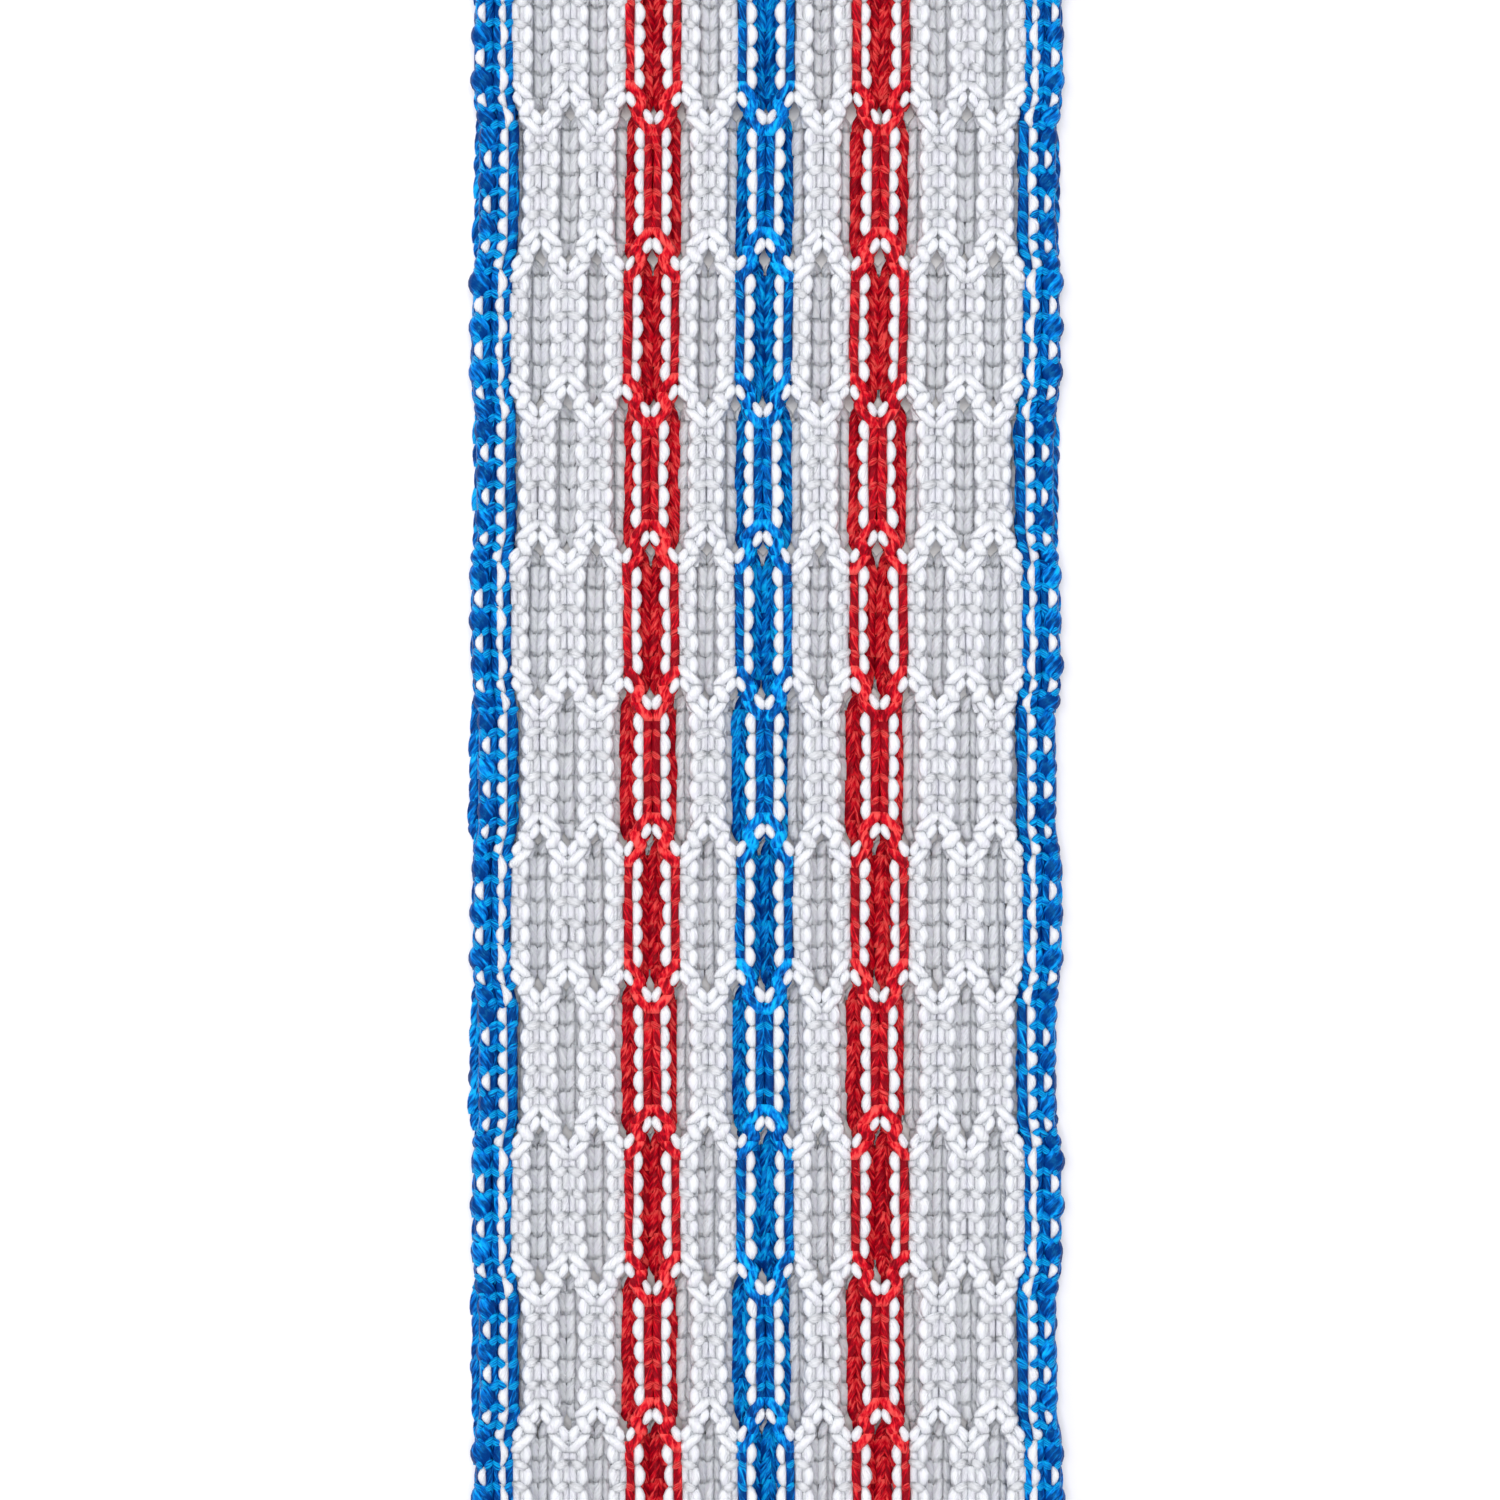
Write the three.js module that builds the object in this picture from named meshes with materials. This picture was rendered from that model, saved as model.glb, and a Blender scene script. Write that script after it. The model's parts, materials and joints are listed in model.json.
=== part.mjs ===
// Lacrosse pocket mesh: a knitted strip of diamonds, folded double.
//
// Two layers of the strip lie flat on each other and meet at one fold. Each layer is a row of
// wales: knitted chains that run the whole length and zigzag sideways. Every wale is linked to
// its left neighbour for a few courses, crosses over, and is then linked to its right
// neighbour, which leaves the open diamonds between them. The two layers are half a diamond
// out of step, so that the wales of one lie under the openings of the other. A short row of
// linked wales carries the strip round the fold, and it turns on two hinge lines so that the
// strip can be opened out flat.
//
// Millimetres. X runs across the strip, Y along it towards the fold, Z up.

import * as THREE from 'three';

// ---- Driving dimensions ---------------------------------------------------------------

const diamondLength = 29.3; // one full zigzag of a wale: two linked stretches and two crossings
const linkedLength = 11.2; // the stretch where two wales run side by side
const diamondsPerLayer = 7;

const walePitch = 2.85; // mean distance between the middles of two wales
const waleSwing = 0.475; // how far a wale leans to each side of its mean place
const waleWidth = 1.6;
const selvageInnerGap = 2.125; // mean distance from the last open wale to the selvage's inner wale
const selvagePitch = 1.9; // distance between the two wales of a selvage
const selvageSwing = 0.25;

const fabricThickness = 2.2;
const foldLength = 3.6; // stitches between the two hinge lines of the fold, which each bend 90
const layerSkew = THREE.MathUtils.degToRad(0.15); // the fold is not quite square to the strip
const touchGap = 0.3; // clearance between pieces that touch on the real strip

// ---- Values that follow from them -----------------------------------------------------

const layerLength = diamondsPerLayer * diamondLength;
const layerSpacing = foldLength; // mid-plane to mid-plane, because the fold stands upright
const innerSetback = fabricThickness / 2; // the inside of a 90 degree bend loses this much
const crossingLength = diamondLength / 2 - linkedLength;

// ---- Materials ------------------------------------------------------------------------

const yarn = {
  white: new THREE.MeshStandardMaterial({ color: 0xf1f3f7, roughness: 0.55, metalness: 0 }),
  red: new THREE.MeshStandardMaterial({ color: 0xc8101c, roughness: 0.5, metalness: 0 }),
  blue: new THREE.MeshStandardMaterial({ color: 0x0f6fd0, roughness: 0.5, metalness: 0 }),
};

// ---- The wales across one layer, from the left edge to the right ----------------------

// The number of open wales in each stripe, between the two selvages.
const stripes = [
  ['white', 4], ['red', 2], ['white', 2], ['blue', 2], ['white', 2], ['red', 2], ['white', 4],
];

function listWales() {
  const openCount = stripes.reduce((sum, [, count]) => sum + count, 0);
  const firstX = (-(openCount - 1) * walePitch) / 2;
  const numbered = { white: 0, red: 0, blue: 0 };
  const wales = [];
  for (const [color, count] of stripes) {
    for (let k = 0; k < count; k += 1) {
      numbered[color] += 1;
      const x = firstX + wales.length * walePitch;
      const name = `${color}_wale_${numbered[color]}`;
      // At the middle of a layer even wales lean right and odd wales lean left.
      const lean = wales.length % 2 === 0 ? waleSwing : -waleSwing;
      wales.push({ name, color, x, lean });
    }
  }
  const inner = -firstX + selvageInnerGap;
  const outer = inner + selvagePitch;
  wales.unshift({ name: 'left_selvage_inner', color: 'blue', x: -inner, lean: selvageSwing });
  wales.unshift({ name: 'left_selvage_outer', color: 'blue', x: -outer, lean: selvageSwing });
  wales.push({ name: 'right_selvage_inner', color: 'blue', x: inner, lean: -selvageSwing });
  wales.push({ name: 'right_selvage_outer', color: 'blue', x: outer, lean: -selvageSwing });
  return wales;
}

// Where a wale turns, as [distance from the fold, side]. A layer starts and ends in the middle
// of a stretch that leans to its first side.
function listTurns(firstSide) {
  const turns = [[innerSetback + touchGap / 2, firstSide]];
  for (let half = 0; half < 2 * diamondsPerLayer; half += 1) {
    const side = half % 2 === 0 ? firstSide : -firstSide;
    const crossing = (half * diamondLength) / 2 + linkedLength / 2;
    turns.push([crossing, side], [crossing + crossingLength, -side]);
  }
  turns.push([layerLength, firstSide]);
  return turns;
}

// ---- Solids ---------------------------------------------------------------------------

// One wale: its zigzag outline seen from above, as thick as the fabric. Its first end follows
// the fold, which crosses the layer at a slope.
function waleGeometry(wale, firstSide, foldSlope) {
  const middle = listTurns(firstSide).map(([along, side]) => [wale.x + side * wale.lean, -along]);
  middle[0][1] += wale.x * foldSlope;
  const right = middle.map(([x, y]) => new THREE.Vector2(x + waleWidth / 2, y));
  const left = middle.map(([x, y]) => new THREE.Vector2(x - waleWidth / 2, y));
  const outline = new THREE.Shape([...left, ...right.reverse()]);
  const options = { depth: fabricThickness, bevelEnabled: false };
  return new THREE.ExtrudeGeometry(outline, options).translate(0, 0, -fabricThickness / 2);
}

// A group of linked wales in the fold. Its inner face is short, so that it clears both layers
// when they are bent, and its outer face is long, so that they close up when it is flat.
function foldLinkGeometry(width) {
  const outer = (foldLength - touchGap) / 2;
  const inner = outer - innerSetback;
  const half = fabricThickness / 2;
  const section = new THREE.Shape();
  section.moveTo(-half, -inner);
  section.lineTo(0, -outer);
  section.lineTo(half, -outer);
  section.lineTo(half, outer);
  section.lineTo(0, outer);
  section.lineTo(-half, inner);
  section.closePath();
  const options = { depth: width, bevelEnabled: false };
  return new THREE.ExtrudeGeometry(section, options).translate(0, 0, -width / 2);
}

// ---- Assembly -------------------------------------------------------------------------

// A layer's own frame has the middle of the fold at y = 0, and the wales run towards -Y.
function makeLayer(prefix, firstSide, foldSlope) {
  const layer = new THREE.Group();
  for (const wale of listWales()) {
    const mesh = new THREE.Mesh(waleGeometry(wale, firstSide, foldSlope), yarn[wale.color]);
    mesh.name = `${prefix}_${wale.name}`;
    layer.add(mesh);
  }
  return layer;
}

// The wales that run side by side in the fold, as [left edge, right edge] of each group. They
// carry on as in the front layer, and cross over where they meet the back layer.
function listFoldLinks() {
  const middles = listWales().map((wale) => wale.x - wale.lean);
  const links = [];
  for (const x of middles) {
    const last = links[links.length - 1];
    if (last && x - waleWidth / 2 - last[1] < 2 * touchGap) last[1] = x + waleWidth / 2;
    else links.push([x - waleWidth / 2, x + waleWidth / 2]);
  }
  return links;
}

// The links stand upright between the two layers' hinge lines.
function makeFold() {
  const fold = new THREE.Group();
  listFoldLinks().forEach(([left, right], index) => {
    const mesh = new THREE.Mesh(foldLinkGeometry(right - left), yarn.white);
    mesh.name = `fold_link_${index + 1}`;
    // The section's X points outwards (+Y), its Y upwards, and it is extruded across the strip.
    mesh.rotation.set(Math.PI / 2, Math.PI / 2, 0);
    mesh.position.set((left + right) / 2, 0, layerSpacing / 2);
    fold.add(mesh);
  });
  return fold;
}

function makeStrip() {
  const foldSlope = Math.tan(layerSkew / 2);
  const back = makeLayer('back', 1, foldSlope);
  back.rotation.z = -layerSkew;

  const front = makeLayer('front', -1, -foldSlope);
  front.position.z = layerSpacing;

  const fold = makeFold();
  fold.rotation.z = -layerSkew / 2;

  const strip = new THREE.Group();
  strip.add(back, fold, front);

  // Origin at the middle of the surface that the strip lies on.
  strip.updateMatrixWorld(true);
  const box = new THREE.Box3().setFromObject(strip, true);
  const center = box.getCenter(new THREE.Vector3());
  strip.position.set(-center.x, -center.y, -box.min.z);
  return strip;
}

export default makeStrip();
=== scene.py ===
"""Knits a strip of lacrosse pocket mesh, folded double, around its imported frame.

Each short length of yarn is modelled once (see StitchShapes). The wales are then laid stitch by
stitch along the places that the frame gives, and the fold is laid round a curve.
"""

import json
import math

import bmesh
import bpy
import numpy as np
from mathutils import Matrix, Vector


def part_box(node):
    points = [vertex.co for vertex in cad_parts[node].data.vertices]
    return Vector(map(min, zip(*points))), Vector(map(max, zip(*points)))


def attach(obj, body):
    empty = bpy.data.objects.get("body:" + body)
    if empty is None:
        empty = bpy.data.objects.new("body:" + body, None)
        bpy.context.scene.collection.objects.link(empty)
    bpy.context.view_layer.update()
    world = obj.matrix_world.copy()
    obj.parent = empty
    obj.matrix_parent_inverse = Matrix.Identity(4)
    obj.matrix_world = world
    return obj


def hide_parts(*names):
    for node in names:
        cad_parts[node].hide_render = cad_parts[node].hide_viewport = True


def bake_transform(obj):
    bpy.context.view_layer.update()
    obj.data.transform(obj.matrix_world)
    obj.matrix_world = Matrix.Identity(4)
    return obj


bl_info = {
    "name": "Folded Lacrosse Mesh",
    "version": (1, 0),
    "blender": (4, 5, 0),
    "location": "3D View > Sidebar > Lacrosse Mesh",
    "description": "Knits a folded strip of lacrosse pocket mesh stitch by stitch",
    "category": "Mesh",
}

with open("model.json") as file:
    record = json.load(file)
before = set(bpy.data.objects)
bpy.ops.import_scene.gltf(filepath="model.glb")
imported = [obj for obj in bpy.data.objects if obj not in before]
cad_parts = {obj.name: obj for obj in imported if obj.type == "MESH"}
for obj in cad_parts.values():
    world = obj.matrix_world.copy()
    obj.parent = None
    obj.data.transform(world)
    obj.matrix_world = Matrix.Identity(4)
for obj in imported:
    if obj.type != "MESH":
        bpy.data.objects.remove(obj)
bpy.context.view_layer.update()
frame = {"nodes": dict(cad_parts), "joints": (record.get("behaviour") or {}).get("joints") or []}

# ---- What the frame says -----------------------------------------------------------------

MM = 0.001
SEED = 11
DIAMONDS = 7  # in each layer

joints = {joint["name"]: joint for joint in frame["joints"]}
BACK_HINGE = Vector(joints["fold_back_hinge"]["pos_m"])
FRONT_HINGE = Vector(joints["fold_front_hinge"]["pos_m"])
FOLD_LINE = -Vector(joints["fold_back_hinge"]["axis"])  # points across the strip, to the right
HALF_SKEW = math.atan2(FOLD_LINE.y, FOLD_LINE.x)  # the back layer is turned by twice this
HALF_FOLD = (FRONT_HINGE - BACK_HINGE).length / 2
WALE_LOW, WALE_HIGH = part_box("front_blue_wale_1")
STRIP_LENGTH = FRONT_HINGE.y - WALE_LOW.y
DIAMOND = STRIP_LENGTH / DIAMONDS
HALF_THICK = (WALE_HIGH.z - WALE_LOW.z) / 2


def wale_middle(name):
    """The wale's mean place across the strip, from the strip's middle line, in metres."""
    low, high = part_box("front_" + name)
    return (low.x + high.x) / 2 - FRONT_HINGE.x


WALES = sorted(
    (node.removeprefix("front_") for node in frame["nodes"] if node.startswith("front_")),
    key=wale_middle,
)
SELVAGES = [name for name in WALES if "selvage" in name]
OPEN_WALES = [name for name in WALES if name not in SELVAGES]


# ---- Sizes and colours that a user would change ------------------------------------------


class YarnSizes(bpy.types.PropertyGroup):
    """How thick the yarn lies in a stitch, and how evenly it is knitted."""

    swing: bpy.props.FloatProperty(
        name="Swing", description="How far a wale leans to each side of its mean place",
        default=0.475 * MM, unit="LENGTH")
    linked_share: bpy.props.FloatProperty(
        name="Linked share", description="Share of a diamond in which two wales run side by side",
        default=0.765, subtype="FACTOR")
    lobe: bpy.props.FloatProperty(
        name="Lobe width", description="Width of the white yarn's lobe beside the wale",
        default=1.02 * MM, unit="LENGTH")
    strand: bpy.props.FloatProperty(
        name="Strand width", description="Width of the wale's own yarn",
        default=1.0 * MM, unit="LENGTH")
    uneven: bpy.props.FloatProperty(
        name="Unevenness", description="How much one stitch differs from the next",
        default=0.07, subtype="FACTOR")
    drift: bpy.props.FloatProperty(
        name="Drift", description="How far a layer wanders sideways along its length",
        default=0.28 * MM, unit="LENGTH")


class YarnColours(bpy.types.PropertyGroup):
    """Dyes, as linear colours."""

    white: bpy.props.FloatVectorProperty(
        name="White", description="Bleached yarn", subtype="COLOR", default=(0.89, 0.93, 0.97))
    red: bpy.props.FloatVectorProperty(
        name="Red", description="Red dyed yarn", subtype="COLOR", default=(0.64, 0.0010, 0.014))
    blue: bpy.props.FloatVectorProperty(
        name="Blue", description="Blue dyed yarn", subtype="COLOR", default=(0.0008, 0.145, 0.60))
    floor: bpy.props.FloatVectorProperty(
        name="Floor", description="Plain pale floor", subtype="COLOR", default=(0.98, 0.96, 0.94))


# ---- Shader maths ------------------------------------------------------------------------


class Value:
    """A shader socket that can be used in a Python expression."""

    def __init__(self, shader, socket):
        self.shader, self.socket = shader, socket

    def _math(self, operation, *others):
        return self.shader.node(
            "ShaderNodeMath", {"operation": operation}, dict(enumerate((self,) + others)))

    def __add__(self, other):
        return self._math("ADD", other)

    def __sub__(self, other):
        return self._math("SUBTRACT", other)

    def __rsub__(self, other):
        return self.shader.node("ShaderNodeMath", {"operation": "SUBTRACT"}, {0: other, 1: self})

    def __mul__(self, other):
        return self._math("MULTIPLY", other)

    __radd__, __rmul__ = __add__, __mul__


class Shader:
    """Builds one material's nodes."""

    def __init__(self, name):
        self.material = bpy.data.materials.new(name)
        self.material.use_nodes = True
        self.tree = self.material.node_tree
        self.principled = self.tree.nodes["Principled BSDF"]

    def node(self, kind, settings=None, inputs=None, output=0):
        """Adds a node, sets it up, sets or links its inputs, and returns one output."""
        made = self.tree.nodes.new(kind)
        for name, setting in (settings or {}).items():
            if name == "stops":
                self._stops(made.color_ramp, setting)
            else:
                setattr(made, name, setting)
        for key, value in (inputs or {}).items():
            self.put(made.inputs[key], value)
        return Value(self, made.outputs[output])

    def _stops(self, ramp, stops):
        while len(ramp.elements) < len(stops):
            ramp.elements.new(1)
        for element, (place, color) in zip(ramp.elements, stops):
            element.position, element.color = place, (*color, 1)

    def put(self, socket, value):
        if isinstance(value, Value):
            self.tree.links.new(value.socket, socket)
        else:
            socket.default_value = value

    def surface(self, **inputs):
        for name, value in inputs.items():
            self.put(self.principled.inputs[name.replace("_", " ")], value)
        return self.material


# Painted shade and painted highlight of each dye: the colour painted where the yarn lies deep
# in shade and the colour painted where its filaments catch the light; then the tint of its
# gloss, and how much of the light sinks into it.
YARN_LOOKS = {
    "white_yarn": {
        "shade": (0.84, 0.845, 0.93), "glow": (0.925, 0.97, 1.0), "gloss": (1, 1, 1),
        "depth": 0.7},
    "red_yarn": {
        "shade": (0.23, 0.0006, 0.008), "glow": (1.0, 0.10, 0.09), "gloss": (1, 0.12, 0.12),
        "depth": 0.0},
    "blue_yarn": {
        "shade": (0.0002, 0.024, 0.19), "glow": (0.005, 0.48, 0.97), "gloss": (0.05, 0.7, 1),
        "depth": 0.0},
}
TWIST = 0.35  # the share of a turn that a filament makes round the yarn in one length
FILAMENT_RELIEF = 0.4 * MM
GRAIN_PER_METRE = {"patches": 900.0, "floor": 260.0}


def dyed_yarn(name, dye, shade, glow, gloss, depth):
    """Shiny filament yarn: fine streaks along the strand, a slight twist, and each stitch a
    little lighter or darker than the next at random. Painted shade and painted highlight go into
    its colour too: the streaks run between the painted shade and painted highlight colours, each
    length of yarn is lighter where it bends and darker where it lies deep, and lighter towards
    its turns."""
    shader = Shader(name)
    uv = shader.node("ShaderNodeUVMap", {"uv_map": "strand"})
    # The stitch attribute holds each length's painted lightness (painted highlight or painted
    # shade), with a little random spread from one stitch to the next.
    stitch = shader.node("ShaderNodeAttribute", {"attribute_name": "stitch"}, output="Fac")
    across, along = (
        shader.node("ShaderNodeSeparateXYZ", inputs={0: uv}, output=k) for k in (0, 1))
    twisted = across + along * TWIST
    strands = shader.node("ShaderNodeCombineXYZ", inputs={
        0: twisted * 9, 1: along * 1.3, 2: stitch * 40})
    filaments = shader.node("ShaderNodeTexNoise", inputs={
        "Vector": strands, "Scale": 1.0, "Detail": 3.0, "Roughness": 0.6})
    places = shader.node("ShaderNodeTexCoord", output="Object")
    patches = shader.node("ShaderNodeTexNoise", inputs={
        "Vector": places, "Scale": GRAIN_PER_METRE["patches"], "Detail": 2.0,
        "Roughness": 0.5})
    # Painted highlight: the colour is made lighter towards both ends of each length of yarn.
    painted_turn_highlight = along * along * 0.8  # a length of yarn catches more light where it turns
    # The ramp paints shade and highlight into the base colour: from the painted shade colour,
    # through the dye, to the painted highlight colour.
    stops = [(0.34, shade), (0.50, dye[:3]), (0.70, glow)]
    tone = shader.node("ShaderNodeValToRGB", {"stops": stops}, {
        0: filaments * 1.5 + patches * 0.15 + stitch * 0.35 + painted_turn_highlight - 0.57})
    bump = shader.node("ShaderNodeBump", inputs={
        "Height": filaments, "Strength": 1.0, "Distance": FILAMENT_RELIEF})
    return shader.surface(
        Base_Color=tone, Roughness=filaments * 0.25 + 0.25, Normal=bump,
        Specular_IOR_Level=0.55, Specular_Tint=(*gloss, 1), Subsurface_Weight=depth,
        Subsurface_Radius=(1, 1, 1), Subsurface_Scale=1.2 * MM)


def pale_floor(color):
    """Matt paper with a faint grain."""
    shader = Shader("floor_paper")
    places = shader.node("ShaderNodeTexCoord", output="Object")
    grain = shader.node("ShaderNodeTexNoise", inputs={
        "Vector": places, "Scale": GRAIN_PER_METRE["floor"]})
    darker = tuple(channel * 0.985 for channel in color)
    tone = shader.node(
        "ShaderNodeValToRGB", {"stops": [(0.0, darker), (1.0, color[:3])]}, {0: grain})
    return shader.surface(Base_Color=tone, Roughness=0.8)


def yarn_material(name):
    """The material for a yarn, made once."""
    shiny = "shiny_" + name
    if shiny in bpy.data.materials:
        return bpy.data.materials[shiny]
    color = getattr(bpy.context.scene.yarn_colours, name.removesuffix("_yarn"))
    return dyed_yarn(shiny, color, **YARN_LOOKS[name])


# ---- Short lengths of yarn, each modelled once -------------------------------------------


def model_strand(name, sides, cuts, shape, turn=0.0, shift=0.0):
    """Models a short closed length of yarn that runs along Y from -0.5 to 0.5.

    shape(t) gives its middle across and up, its width and its height, in millimetres, as t goes
    from 0 to 1. turn then swings it about Z, in degrees, and shift moves it across.
    """
    bpy.ops.object.select_all(action="DESELECT")
    bpy.ops.mesh.primitive_cylinder_add(
        vertices=sides, radius=0.5, depth=1, rotation=(-math.pi / 2, 0, 0))
    strand = bpy.context.active_object
    strand.name = name
    bpy.ops.object.transform_apply(rotation=True)
    bpy.ops.object.mode_set(mode="EDIT")
    if cuts:
        select_where(strand, edges=lambda e: abs(e.verts[0].co.y - e.verts[1].co.y) > 0.5)
        bpy.ops.mesh.subdivide(number_cuts=cuts)
    for ring in range(cuts + 2):
        t = ring / (cuts + 1)
        across, up, width, height = shape(t)
        select_where(strand, verts=lambda v: abs(v.co.y + 0.5 - t) < 0.01)
        bpy.ops.transform.resize(value=(width, 1, height), center_override=(0, t - 0.5, 0))
        bpy.ops.transform.translate(value=(across, 0, up))
    bpy.ops.mesh.select_all(action="SELECT")
    if turn:
        bpy.ops.transform.rotate(
            value=math.radians(turn), orient_axis="Z", center_override=(0, 0, 0))
    if shift:
        bpy.ops.transform.translate(value=(shift, 0, 0))
    bpy.ops.object.mode_set(mode="OBJECT")
    return strand


def select_where(obj, verts=None, edges=None):
    """In edit mode, selects only the vertices or the edges that pass the test."""
    bpy.context.tool_settings.mesh_select_mode = (verts is not None, edges is not None, False)
    bpy.ops.mesh.select_all(action="DESELECT")
    mesh = bmesh.from_edit_mesh(obj.data)
    for item in mesh.verts if verts else mesh.edges:
        if (verts or edges)(item):
            item.select_set(True)
    mesh.select_flush_mode()
    bmesh.update_edit_mesh(obj.data)


class StitchShapes:
    """Keeps each modelled length as arrays, ready to be laid many times."""

    made = {}

    @classmethod
    def keep(cls, strand):
        mesh = strand.data
        around = mesh.uv_layers.active.data
        faces = [list(face.loop_indices) for face in mesh.polygons]
        kept = {
            "places": np.array([vertex.co for vertex in mesh.vertices]),
            "sizes": np.array([len(face) for face in faces]),
        }
        # A mirrored copy has its corners in the other order, so that its faces point outwards.
        for key, order in (("right", faces), ("mirrored", [face[::-1] for face in faces])):
            loops = [loop for face in order for loop in face]
            corners = [mesh.loops[loop].vertex_index for loop in loops]
            kept[key] = np.array(corners)
            kept[key + "_uv"] = np.array([
                (around[loop].uv.x, mesh.vertices[vertex].co.y)
                for loop, vertex in zip(loops, corners)])
        cls.made[strand.name] = kept
        bpy.data.objects.remove(strand)
        bpy.data.meshes.remove(mesh)


def bow(t):
    """0 at both ends and 1 in the middle, with round shoulders."""
    return max(0.0, math.sin(math.pi * t)) ** 0.8


class KNIT_OT_model_stitches(bpy.types.Operator):
    """Model the short lengths of yarn that the stitches are made of"""

    bl_idname = "knit.model_stitches"
    bl_label = "Model Stitches"

    def execute(self, context):
        sizes = context.scene.yarn_sizes
        lobe, strand = sizes.lobe / MM, sizes.strand / MM

        # A white lobe bulges out to the free side (-X). Its inner edge stays straight.
        def lobe_shape(t):
            width = 0.36 + (lobe - 0.36) * bow(t)
            return 0.08 - width / 2, 0.2 + 0.18 * bow(t), width, 0.5 + 0.5 * bow(t)

        # The wale's own yarn runs on the linked side (+X), low in the middle of each course.
        def strand_shape(t):
            return 0.52, 0.34 - 0.2 * bow(t), strand * (0.94 + 0.06 * bow(t)), 0.9

        # In a crossing it only shows where it turns round, halfway along the course.
        def turn_shape(t):
            return 0.12 + 0.3 * bow(t), 0.3, 0.6 + 0.2 * bow(t), 0.8

        # A lap lies across the wale's yarn where two courses meet, and its ends dip under.
        def lap_shape(t):
            return 0, 0.4 + 0.36 * bow(t), 0.3 + 0.34 * bow(t), 0.3 + 0.3 * bow(t)

        # Where the yarn changes sides it swings over the top of the wale.
        def hook_shape(t):
            return (
                -0.6 * math.cos(math.pi * t), 0.36 + 0.3 * bow(t),
                0.86 + 0.62 * bow(t), 0.66 + 0.28 * bow(t))

        # In a selvage, every other course is one fat loop.
        def bead_shape(t):
            return 0, 0.34 + 0.16 * bow(t), 1.0 + 0.95 * bow(t), 0.6 + 0.34 * bow(t)

        # One leg of the V on the other side of the fabric.
        def leg_shape(t):
            return 0.2 + 0.2 * t, -0.56 - 0.08 * bow(t), 0.7 + 0.36 * bow(t), 0.8

        # The inside of a wale.
        def core_shape(t):
            return 0, -0.08, 0.95, 0.86

        # White yarn mats together, so it fills a white wale further.
        def matted_shape(t):
            return 0.04, -0.1, 1.4, 1.5

        # A cut end thins out to a tip.
        def tail_shape(t):
            return 0.3 * t, -0.1 + 0.1 * t, 0.5 - 0.3 * t, 0.5 - 0.3 * t

        StitchShapes.keep(model_strand("lobe", 8, 4, lobe_shape))
        StitchShapes.keep(model_strand("strand", 8, 2, strand_shape))
        StitchShapes.keep(model_strand("turn", 8, 3, turn_shape))
        StitchShapes.keep(model_strand("lap", 6, 3, lap_shape, turn=-55, shift=0.5))
        StitchShapes.keep(model_strand("hook", 8, 5, hook_shape))
        StitchShapes.keep(model_strand("bead", 8, 4, bead_shape))
        StitchShapes.keep(model_strand("leg", 6, 3, leg_shape))
        StitchShapes.keep(model_strand("core", 6, 0, core_shape))
        StitchShapes.keep(model_strand("matted", 6, 0, matted_shape))
        StitchShapes.keep(model_strand("tail", 6, 2, tail_shape))
        return {"FINISHED"}


# ---- The plan of a layer -----------------------------------------------------------------


def ease(t):
    """Goes from 0 to 1 with a soft start and a soft stop."""
    t = np.clip(t, 0, 1)
    return t * t * (3 - 2 * t)


# The side that each layer's wales lean to at the fold. The layers are half a diamond out of
# step, so the wales of the back one show in the openings of the front one.
FIRST_SIDE = {"front": -1, "back": 1}


class LayerPlan:
    """Where the courses of a layer lie, counted from the fold, in metres.

    Each course has its ends, the side (-1 or 1) that its strand lies on, and the side that its
    stretch of the wale leans to. A positive side is to the right for a wale that leans right
    in the middle of the layer.
    """

    linked_courses = 5  # between two crossings
    start = HALF_FOLD
    cut = True  # its far end is a cut edge

    def __init__(self, sizes, first_side):
        self.first_side = first_side
        self.linked = DIAMOND / 2 * sizes.linked_share
        self.crossing = DIAMOND / 2 - self.linked
        self.courses = []
        side = first_side
        place = self._add(self.start, self.linked / 2, [side, side], side)
        for half in range(2 * DIAMONDS):
            place = self._add(place, place + self.crossing, [-side, side], side)
            side = -side
            last = half == 2 * DIAMONDS - 1
            count = self.linked_courses // 2 if last else self.linked_courses
            length = self.linked * count / self.linked_courses
            place = self._add(place, place + length, [side] * count, side)
        self.end = place

    def _add(self, start, stop, strand_sides, side):
        step = (stop - start) / len(strand_sides)
        crossing = len(set(strand_sides)) > 1
        for k, strand_side in enumerate(strand_sides):
            self.courses.append({
                "start": start + k * step, "stop": start + (k + 1) * step,
                "strand": strand_side, "side": side, "crossing": crossing})
        return stop

    def lean(self, along):
        """From -1 to 1: the side that the wales lean to at each distance from the fold."""
        index = np.clip(np.floor(along / (DIAMOND / 2)), 0, 2 * DIAMONDS - 1)
        start = (index + 0.5) * DIAMOND / 2 - self.crossing / 2
        moved = ease((along - start) / self.crossing)
        side = np.where(index % 2 == 0, self.first_side, -self.first_side)
        return side * (1 - 2 * moved)


PULL = 0.9 * MM  # a wale is pulled to the right by a third of this at the most


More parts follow.
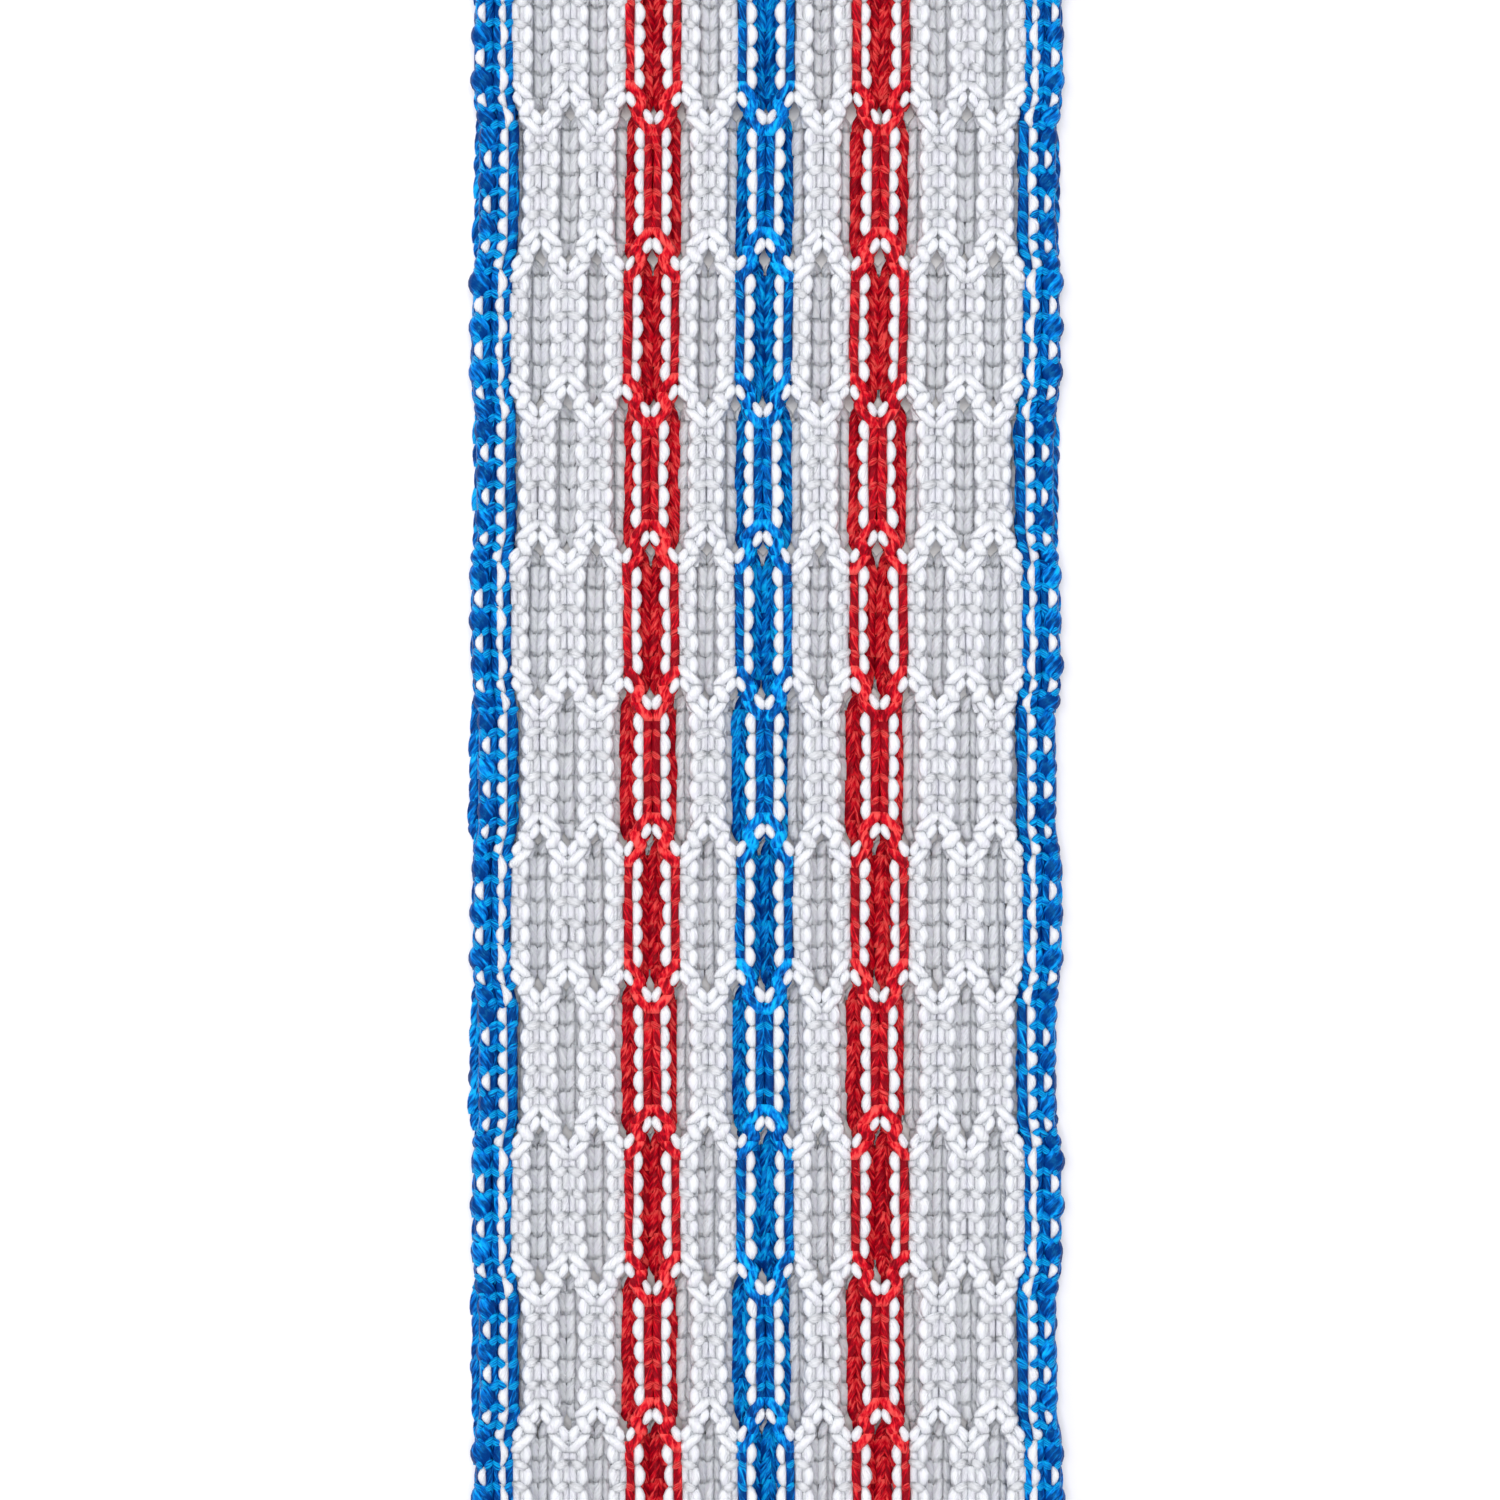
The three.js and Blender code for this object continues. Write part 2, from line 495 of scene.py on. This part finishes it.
def lay_of(layer_seed, sizes):
    """The slow sideways wander of a layer, and the uneven pull that spreads its wales."""
    rng = np.random.default_rng(layer_seed)
    waves = (STRIP_LENGTH * 0.9, STRIP_LENGTH * 0.41, STRIP_LENGTH * 0.23)
    shares = (0.55, 0.3, 0.15)
    phases = rng.uniform(0, 2 * math.pi, len(waves))
    edge = wale_middle(WALES[-1])

    def lay(across, along):
        wander = sum(
            share * np.sin(2 * math.pi * along / wave + phase)
            for share, wave, phase in zip(shares, waves, phases))
        held = ease(along / DIAMOND)  # the fold holds both layers in line
        ratio = across / edge
        pull = PULL * ratio ** 2 * (1 - 0.75 * ratio ** 2)
        return across + held * (sizes.drift * wander + pull)

    return lay


# ---- Where a stitch lands ----------------------------------------------------------------


def fold_slope(across, along):
    """How far the skewed fold line draws the first diamond of each layer along."""
    return math.tan(HALF_SKEW) * across * (1 - ease(along / DIAMOND))


def on_front(across, along, up):
    """A point of the front layer: across the strip, away from the fold, out of the fabric."""
    along = along - fold_slope(across, along)
    return np.stack(
        [FRONT_HINGE.x + across, FRONT_HINGE.y - along, FRONT_HINGE.z + up], axis=-1)


def on_back(across, along, up):
    """The back layer is turned over, and turned about the fold by the skew."""
    along = along + fold_slope(across, along)
    turn = 2 * HALF_SKEW
    x = across * math.cos(turn) + along * math.sin(turn)
    y = across * math.sin(turn) - along * math.cos(turn)
    return np.stack([BACK_HINGE.x + x, BACK_HINGE.y + y, BACK_HINGE.z - up], axis=-1)


def round_bend(front):
    """A course that bends round one hinge line: along runs from 0 at the middle of the fold to
    HALF_FOLD at the layer. The curve starts and ends in line with what it joins."""
    hinge = FRONT_HINGE if front else BACK_HINGE
    rise = 1 if front else -1
    across_dir = np.array(FOLD_LINE)
    out_dir = np.array((-FOLD_LINE.y, FOLD_LINE.x, 0))
    up_dir = np.array((0, 0, rise))

    def place(across, along, up):
        t = (along / HALF_FOLD)[..., None]
        start = -up_dir * HALF_FOLD
        stop = -out_dir * HALF_FOLD
        middle = (1 - t) ** 2 * start + t ** 2 * stop
        tangent = -(1 - t) * start + t * stop
        tangent = tangent / np.linalg.norm(tangent, axis=-1, keepdims=True)
        normal = np.cross(tangent, across_dir) * rise
        base = np.array(hinge) + across[..., None] * across_dir
        return base + middle + up[..., None] * normal

    return place


# ---- Laying stitches ---------------------------------------------------------------------


class Laid:
    """Collects the stitches of one piece and makes its mesh."""

    def __init__(self):
        self.parts = []
        self.count = 0

    def add(self, shape, points, mirrored, shade):
        stitch = StitchShapes.made[shape]
        key = "mirrored" if mirrored else "right"
        self.parts.append((
            points, stitch[key] + self.count, stitch["sizes"], stitch[key + "_uv"],
            np.full(len(points), shade)))
        self.count += len(points)

    def make(self, name, material):
        places, corners, sizes, uv, shades = (
            np.concatenate([part[k] for part in self.parts]) for k in range(5))
        mesh = bpy.data.meshes.new(name)
        mesh.vertices.add(len(places))
        mesh.loops.add(len(corners))
        mesh.polygons.add(len(sizes))
        mesh.vertices.foreach_set("co", places.astype(np.float32).ravel())
        mesh.loops.foreach_set("vertex_index", corners.astype(np.int32))
        starts = np.concatenate([[0], np.cumsum(sizes)[:-1]])
        mesh.polygons.foreach_set("loop_start", starts.astype(np.int32))
        mesh.polygons.foreach_set("use_smooth", np.ones(len(sizes), bool))
        layer = mesh.uv_layers.new(name="strand")
        layer.data.foreach_set("uv", uv.astype(np.float32).ravel())
        # Each point's painted lightness: painted highlight or painted shade by the kind of
        # length, with a random spread from stitch to stitch.
        tone = mesh.attributes.new("stitch", "FLOAT", "POINT")
        tone.data.foreach_set("value", shades.astype(np.float32))
        mesh.materials.append(material)
        mesh.update()
        if mesh.validate(verbose=True):
            raise RuntimeError(f"{name} has faces that don't hold")
        piece = bpy.data.objects.new(name, mesh)
        bpy.context.scene.collection.objects.link(piece)
        return piece


# Painted highlight and painted shade of each length of yarn, as its mean place on the tone ramp:
# high where it bends round another and its filaments would catch the light, low where it lies
# deep in shade.
PAINTED_LIGHTNESS = {
    "lobe": 0.66, "strand": 0.24, "turn": 0.35, "lap": 0.95, "hook": 0.6, "bead": 0.27,
    "leg": 0.5, "core": 0.3, "matted": 0.6, "tail": 0.6,
}
LIGHTNESS_SPREAD = 0.12

# How far a length reaches along the wale, to each side of the place where two courses meet.
HOOK_REACH = 1.05 * MM
LAP_REACH = 0.6 * MM
WHITE_LAP_REACH = 0.75 * MM
SELVAGE_LAP_REACH = 0.62 * MM

# The cut yarn ends of a wale: how far across from its middle they are, and how unevenly they
# are cut, in millimetres.
TAIL_SHIFTS = (-0.55, -0.2, 0.2, 0.55)
TAIL_UNEVEN = 0.35


class Knitter:
    """Lays the courses of one wale, in one layer or round one bend of the fold."""

    def __init__(self, wale, plan, lay, place, front, sizes):
        self.wale, self.plan, self.lay, self.place, self.sizes = wale, plan, lay, place, sizes
        self.white = yarn_of(wale) == "white_yarn"
        self.turned = -1 if front else 1  # the front layer's places are mirrored
        self.middle = wale_middle(wale)
        self.swing = sizes.swing * lean_of(wale)
        self.hand = 1 if self.swing > 0 else -1
        self.rng = np.random.default_rng([SEED, WALES.index(wale), front, round(plan.start / MM)])

    def route(self, along):
        """The middle of the wale, across the strip, at each distance from the fold."""
        across = np.full_like(along, self.middle) + self.plan.lean(along) * self.swing
        return self.lay(across, along)

    def put(self, into, shape, start, stop, flip, stretch=1.08, fat=1.0, shift=0.0, lift=0.0):
        """Lays a shape from start to stop, with its +X side facing the side flip."""
        points = StitchShapes.made[shape]["places"]
        uneven = self.sizes.uneven
        jitter = 1 + self.rng.normal(0, uneven, 3)
        nudge = self.rng.normal(0, uneven * 0.5 * MM, 2)
        along = (start + stop) / 2 + points[:, 1] * (stop - start) * stretch + nudge[1]
        across = self.route(along) + flip * (points[:, 0] * jitter[0] * fat + shift) * MM
        up = (points[:, 2] * (1 + (jitter[2] - 1) * 0.5) + lift) * MM
        # The painted lightness of this length: its painted highlight or painted shade, spread a
        # little at random.
        shade = float(np.clip(self.rng.normal(PAINTED_LIGHTNESS[shape], LIGHTNESS_SPREAD), 0, 1))
        into.add(shape, self.place(across + nudge[0], along, up), flip * self.turned < 0, shade)

    def knit(self, chain, inlay):
        """Lays every course, its own yarn into chain and its white lobes into inlay."""
        courses = self.plan.courses
        core = "matted" if self.white else "core"
        for number, (course, following) in enumerate(zip(courses, courses[1:] + [None])):
            start, stop = course["start"], course["stop"]
            self.put(chain, core, start, stop, 1, stretch=1.02)
            for side in (1, -1):
                linked = side == course["side"] * self.hand
                self.put(chain, "leg", start, stop, side, stretch=1.2,
                         fat=1.42 if linked else 1.12)
            if self.wale in SELVAGES:
                self.selvage_course(chain, inlay, number, course)
            else:
                self.open_course(chain, inlay, course, following)
        if self.plan.cut:
            self.cut_end(chain)

    def open_course(self, chain, inlay, course, following):
        """The strand lies on one side and the lobe on the other. At the end of the course the
        yarn laps over itself, or swings over to the other side."""
        start, stop, side = course["start"], course["stop"], course["strand"] * self.hand
        if course["crossing"]:
            self.put(chain, "turn", start, stop, side)
            self.put(inlay, "lobe", start, stop, side, stretch=1.25, lift=0.16, shift=-0.2)
        else:
            room = 0.4 * MM if following and following["crossing"] else 0  # for the hook
            self.put(chain, "strand", start, stop - room, side)
            self.put(inlay, "lobe", start, stop, side, stretch=1.18, fat=1.06)
        if following and following["strand"] != course["strand"]:
            self.put(chain, "hook", stop - HOOK_REACH, stop + HOOK_REACH, -side, stretch=1)
        elif self.white:
            self.put(chain, "lap", stop - WHITE_LAP_REACH, stop + WHITE_LAP_REACH, side,
                     stretch=1, fat=1.8, shift=-0.72)
        else:
            self.put(chain, "lap", stop - LAP_REACH, stop + LAP_REACH, side, stretch=1)

    def selvage_course(self, chain, inlay, number, course):
        """The two selvage wales run close together, and their loops cover the white yarn of
        every other course."""
        start, stop = course["start"], course["stop"]
        inward = -1 if self.middle > 0 else 1
        linked_in = course["side"] * lean_of(self.wale) * inward > 0
        outer = "outer" in self.wale
        odd = number % 2 == 1
        for side in (1, -1):
            at_edge = outer and side != inward
            self.put(chain, "strand", start, stop, side, fat=0.86 if at_edge else 1.02,
                     lift=-0.12)
            self.put(chain, "lap", stop - SELVAGE_LAP_REACH, stop + SELVAGE_LAP_REACH, side,
                     stretch=self.rng.uniform(0.95, 1.2), fat=0.9 if at_edge else 1.15)
        if linked_in:
            if outer:
                if odd:
                    self.put(inlay, "lobe", start, stop, inward, stretch=0.85, fat=0.82,
                             lift=0.16, shift=0.25)
                else:
                    self.put(chain, "bead", start, stop, -inward, fat=0.95, shift=0.12)
            else:
                self.put(inlay, "lobe", start, stop, inward, stretch=1.05, lift=0.1)
                self.put(chain, "strand", start, stop, inward)
        elif odd:
            self.put(chain, "bead", start, stop, -inward, stretch=1.15,
                     fat=1.12 if outer else 0.8, lift=0.08, shift=0.16 if outer else 0.3)
            if not outer:
                self.put(inlay, "lobe", start, stop, -inward, stretch=1.32, fat=0.98,
                         lift=0.3, shift=0.35)
        else:
            self.put(inlay, "lobe", start, stop, inward, stretch=0.92, fat=0.84, lift=0.18,
                     shift=0.1 if outer else 0.2)

    def cut_end(self, chain):
        """The wale's yarns stand out a little where the strip was cut."""
        end = self.plan.end
        for shift in TAIL_SHIFTS:
            reach = STRIP_LENGTH - end - self.rng.uniform(0, TAIL_UNEVEN) * MM
            self.put(chain, "tail", end - 0.3 * MM, end + reach, 1 if shift > 0 else -1,
                     stretch=1, shift=abs(shift), fat=self.rng.uniform(0.5, 1.2))


# ---- Pieces ------------------------------------------------------------------------------


SELVAGE_LEAN = 0.53


def yarn_of(wale):
    """Selvages are knitted in the blue yarn. The others say their colour in their name."""
    return "blue_yarn" if wale in SELVAGES else wale.split("_")[0] + "_yarn"


def lean_of(wale):
    """1 for a wale that leans right on the positive side of the plan, -1 for the other. A
    selvage is held at the edge, so its two wales lean less, and both the same way."""
    if wale in SELVAGES:
        return SELVAGE_LEAN if wale.startswith("left") else -SELVAGE_LEAN
    return 1 if OPEN_WALES.index(wale) % 2 == 0 else -1


def knit_layer(front, context):
    """Knits a whole layer: one chain piece for each wale, and one net of white inlay yarn."""
    sizes = context.scene.yarn_sizes
    layer = "front" if front else "back"
    body = layer + "_layer"
    plan = LayerPlan(sizes, FIRST_SIDE[layer])
    lay = lay_of(SEED + front, sizes)
    place = on_front if front else on_back
    inlay = Laid()
    for wale in WALES:
        chain = Laid()
        Knitter(wale, plan, lay, place, front, sizes).knit(chain, inlay)
        piece = chain.make(f"{layer}_{wale}_chain", yarn_material(yarn_of(wale)))
        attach(piece, body)
        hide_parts(f"{layer}_{wale}")
    net = inlay.make(layer + "_white_inlay", yarn_material("white_yarn"))
    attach(net, body)
    width = wale_middle(WALES[-1]) - wale_middle(WALES[0]) + 2 * HALF_THICK


class KNIT_OT_front_layer(bpy.types.Operator):
    """Knit the layer that lies on top"""

    bl_idname = "knit.front_layer"
    bl_label = "Front Layer"

    def execute(self, context):
        knit_layer(True, context)
        return {"FINISHED"}


class KNIT_OT_back_layer(bpy.types.Operator):
    """Knit the layer that lies underneath"""

    bl_idname = "knit.back_layer"
    bl_label = "Back Layer"

    def execute(self, context):
        knit_layer(False, context)
        return {"FINISHED"}


class KNIT_OT_fold(bpy.types.Operator):
    """Knit the courses that bend round the two hinge lines of the fold"""

    bl_idname = "knit.fold"
    bl_label = "Fold"

    def execute(self, context):
        sizes = context.scene.yarn_sizes
        links = {yarn: [] for yarn in ("white_yarn", "red_yarn", "blue_yarn")}
        for node in sorted(n for n in frame["nodes"] if n.startswith("fold_link")):
            links[link_yarn(node)].append(node)
        for front in (False, True):
            self.bend(front, links, sizes)
        return {"FINISHED"}

    def bend(self, front, links, sizes):
        """Knits every wale round one hinge line, as one piece for each yarn."""
        plan = BendPlan(FIRST_SIDE["front"], FIRST_SIDE["front" if front else "back"])
        place = round_bend(front)
        inlay = Laid()
        chains = {yarn: Laid() for yarn in links}
        for wale in WALES:
            knitter = Knitter(wale, plan, lambda across, along: across, place, front, sizes)
            knitter.knit(chains[yarn_of(wale)], inlay)
        name = "fold_front_bend_" if front else "fold_back_bend_"
        pieces = {
            yarn: chain.make(name + yarn.removesuffix("_yarn"), yarn_material(yarn))
            for yarn, chain in chains.items()}
        pieces["inlay"] = inlay.make(name + "inlay", yarn_material("white_yarn"))
        for yarn, piece in pieces.items():
            if front:
                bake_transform(piece)
            else:
                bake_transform(piece)
            if yarn in links:
                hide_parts(*links[yarn])


def link_yarn(node):
    """The colour of the wales that a link of the frame's fold stands for."""
    low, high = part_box(node)
    middle = (low.x + high.x) / 2 - FRONT_HINGE.x
    nearest = min(WALES, key=lambda wale: abs(wale_middle(wale) - middle))
    return yarn_of(nearest)


class BendPlan:
    """One course, from the middle of the fold to where its layer starts."""

    start = 0.0
    cut = False

    def __init__(self, fold_side, layer_side):
        self.sides = fold_side, layer_side
        self.courses = [{
            "start": self.start, "stop": HALF_FOLD, "strand": layer_side, "side": layer_side,
            "crossing": False}]

    def lean(self, along):
        fold_side, layer_side = self.sides
        return fold_side + (layer_side - fold_side) * ease(along / HALF_FOLD)


# ---- The stage ---------------------------------------------------------------------------


LENS = 100  # millimetres, on a sensor that is SENSOR millimetres wide
SENSOR = 36
VIEW_WIDTH = 150 * MM  # how much the camera takes in, level with the strip's upper side
VIEW_SHIFT = -1.5 * MM  # from the strip's middle line to the camera
DIAMONDS_TO_CAMERA = 3.443  # from the fold, along the strip
FLOOR_DROP = 0.15 * MM  # the lowest stitches stand out this far below the frame's solids


class KNIT_OT_stage(bpy.types.Operator):
    """Set up the camera, the pale floor and the soft studio light"""

    bl_idname = "knit.stage"
    bl_label = "Stage"

    def execute(self, context):
        scene = context.scene
        bpy.ops.object.select_all(action="DESELECT")
        top = FRONT_HINGE.z + HALF_THICK
        bpy.ops.object.camera_add(location=(
            FRONT_HINGE.x + VIEW_SHIFT, FRONT_HINGE.y - DIAMONDS_TO_CAMERA * DIAMOND,
            top + VIEW_WIDTH * LENS / SENSOR))
        camera = context.active_object
        camera.name = "overhead_camera"
        camera.data.lens = LENS
        camera.data.clip_start = 0.01
        scene.camera = camera

        bpy.ops.mesh.primitive_plane_add(size=3, location=(0, 0, -FLOOR_DROP))
        bpy.ops.object.transform_apply(location=True)
        floor = context.active_object
        floor.name = "floor"
        floor.data.materials.append(pale_floor(scene.yarn_colours.floor))

        self.softbox("overhead_light", (-0.02, 0.04, 0.9), 0.3, 5.8)
        self.softbox("key_light", (-0.5, 0.46, 0.5), 0.3, 1.2)
        world = bpy.data.worlds.new("pale_room")
        world.use_nodes = True
        background = world.node_tree.nodes["Background"]
        background.inputs["Color"].default_value = (0.93, 0.92, 1, 1)
        background.inputs["Strength"].default_value = 0.55
        scene.world = world
        scene.view_settings.view_transform = "Standard"
        return {"FINISHED"}

    def softbox(self, name, place, size, power):
        """Adds a square light that faces the strip."""
        bpy.ops.object.light_add(type="AREA", location=place)
        light = bpy.context.active_object
        light.name = name
        light.data.size = size
        light.data.energy = power
        light.rotation_euler = (-Vector(place)).to_track_quat("-Z", "Y").to_euler()


class KNIT_PT_sidebar(bpy.types.Panel):
    """Lists the steps of making the strip"""

    bl_idname = "KNIT_PT_sidebar"
    bl_label = "Lacrosse Mesh"
    bl_space_type = "VIEW_3D"
    bl_region_type = "UI"
    bl_category = "Lacrosse Mesh"

    def draw(self, context):
        for group in (context.scene.yarn_sizes, context.scene.yarn_colours):
            for name in group.__annotations__:
                self.layout.prop(group, name)
        for step in STEPS:
            self.layout.operator(step.bl_idname)


# ---- Running it --------------------------------------------------------------------------

STEPS = (
    KNIT_OT_stage,
    KNIT_OT_model_stitches,
    KNIT_OT_back_layer,
    KNIT_OT_fold,
    KNIT_OT_front_layer,
)
CLASSES = (YarnSizes, YarnColours, *STEPS, KNIT_PT_sidebar)


def register():
    for made in CLASSES:
        bpy.utils.register_class(made)
    bpy.types.Scene.yarn_sizes = bpy.props.PointerProperty(type=YarnSizes)
    bpy.types.Scene.yarn_colours = bpy.props.PointerProperty(type=YarnColours)


def unregister():
    del bpy.types.Scene.yarn_colours
    del bpy.types.Scene.yarn_sizes
    for made in reversed(CLASSES):
        bpy.utils.unregister_class(made)


def main():
    register()
    for step in STEPS:
        group, name = step.bl_idname.split(".")
        getattr(getattr(bpy.ops, group), name)()


if __name__ == "__main__":
    main()
